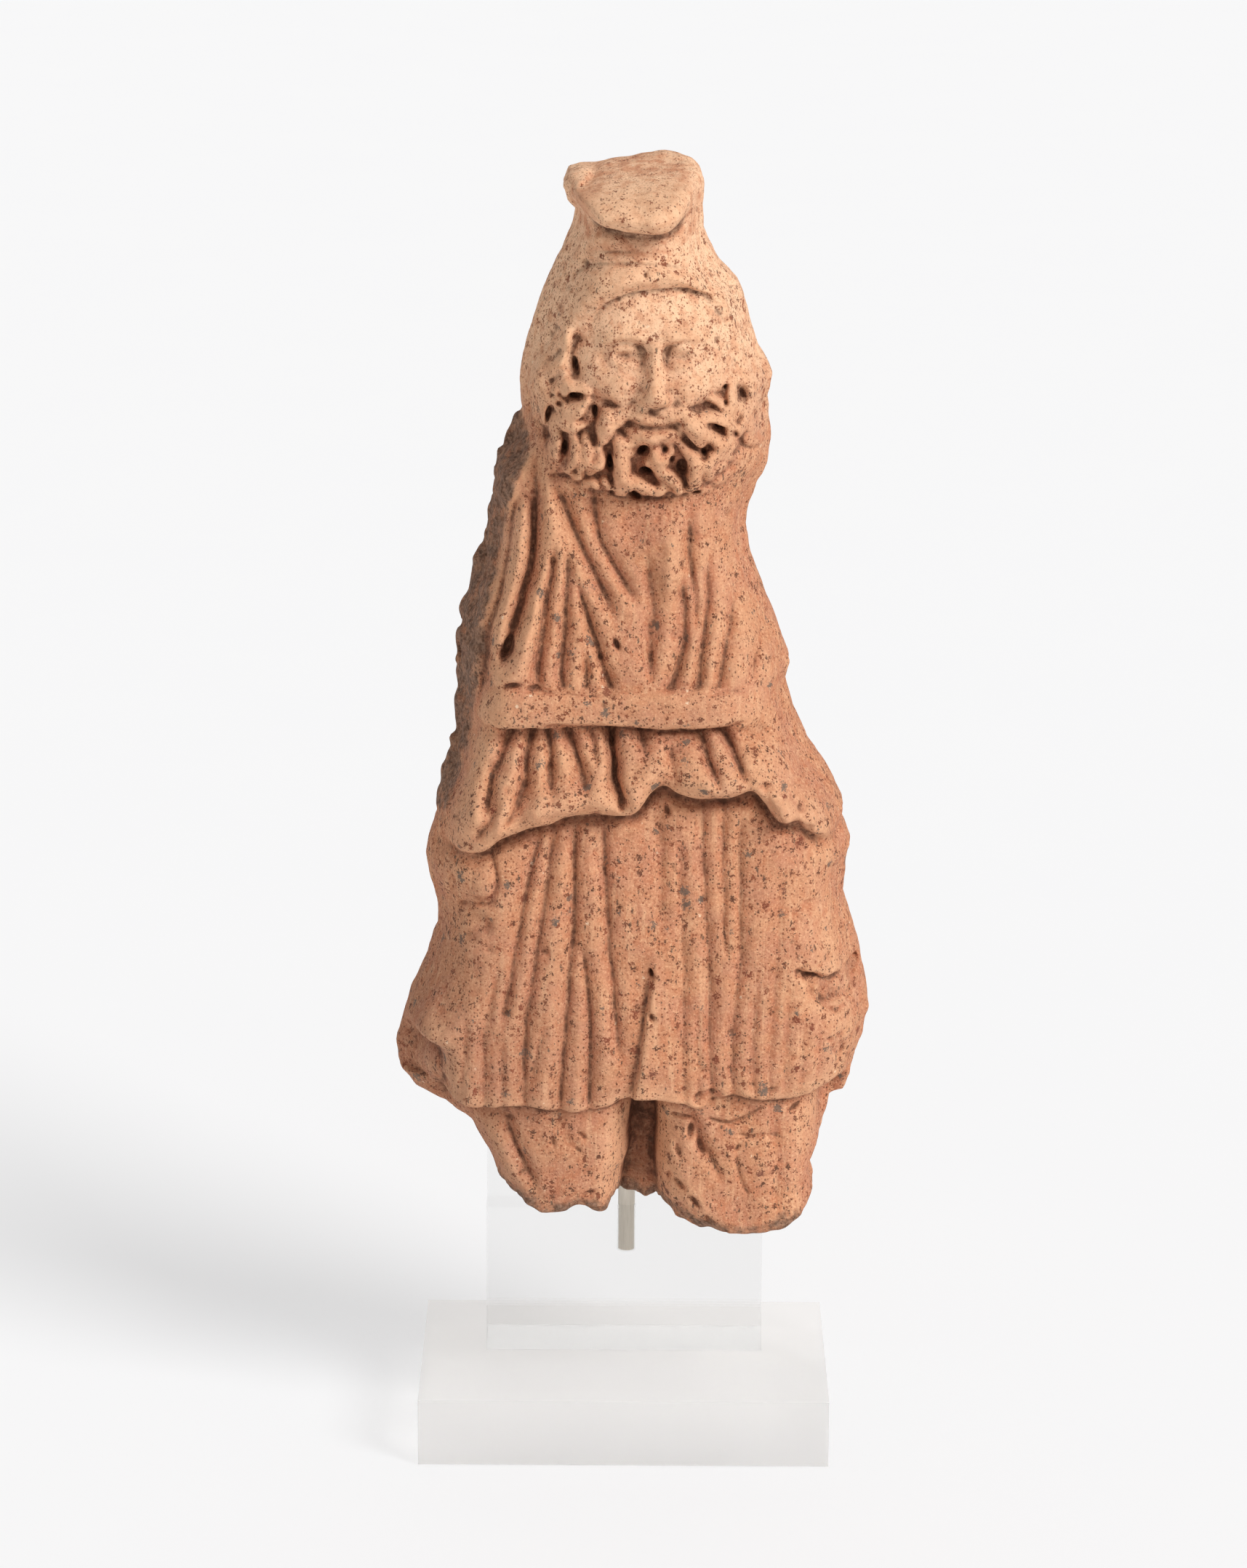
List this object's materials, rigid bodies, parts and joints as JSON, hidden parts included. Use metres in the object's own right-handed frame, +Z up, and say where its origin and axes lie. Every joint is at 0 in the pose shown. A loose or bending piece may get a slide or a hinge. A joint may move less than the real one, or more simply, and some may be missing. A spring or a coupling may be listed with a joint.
{
  "type": "jupiter figurine",
  "caption": "Broken terracotta figure of a bearded man in a folded cap and belted tunic, held upright by a pin on a clear stepped block and slab.",
  "frame": {"origin": "centre of the slab's underside", "axes": "+Z up, the figure faces -Y, +X to the right seen from the front"},
  "size_m": [0.1374, 0.0832, 0.3809],
  "materials": {
    "terracotta": "matt, unglazed, full of dark grit, dirt in the hollows",
    "clear_acrylic": "clear and polished, the slab a little milky",
    "steel_pin": "plain drawn steel rod"
  },
  "bodies": {
    "root": {"base_slab": "clear_acrylic", "upright_block": "clear_acrylic", "pin": "steel_pin", "figurine": "terracotta"}
  },
  "joints": []
}
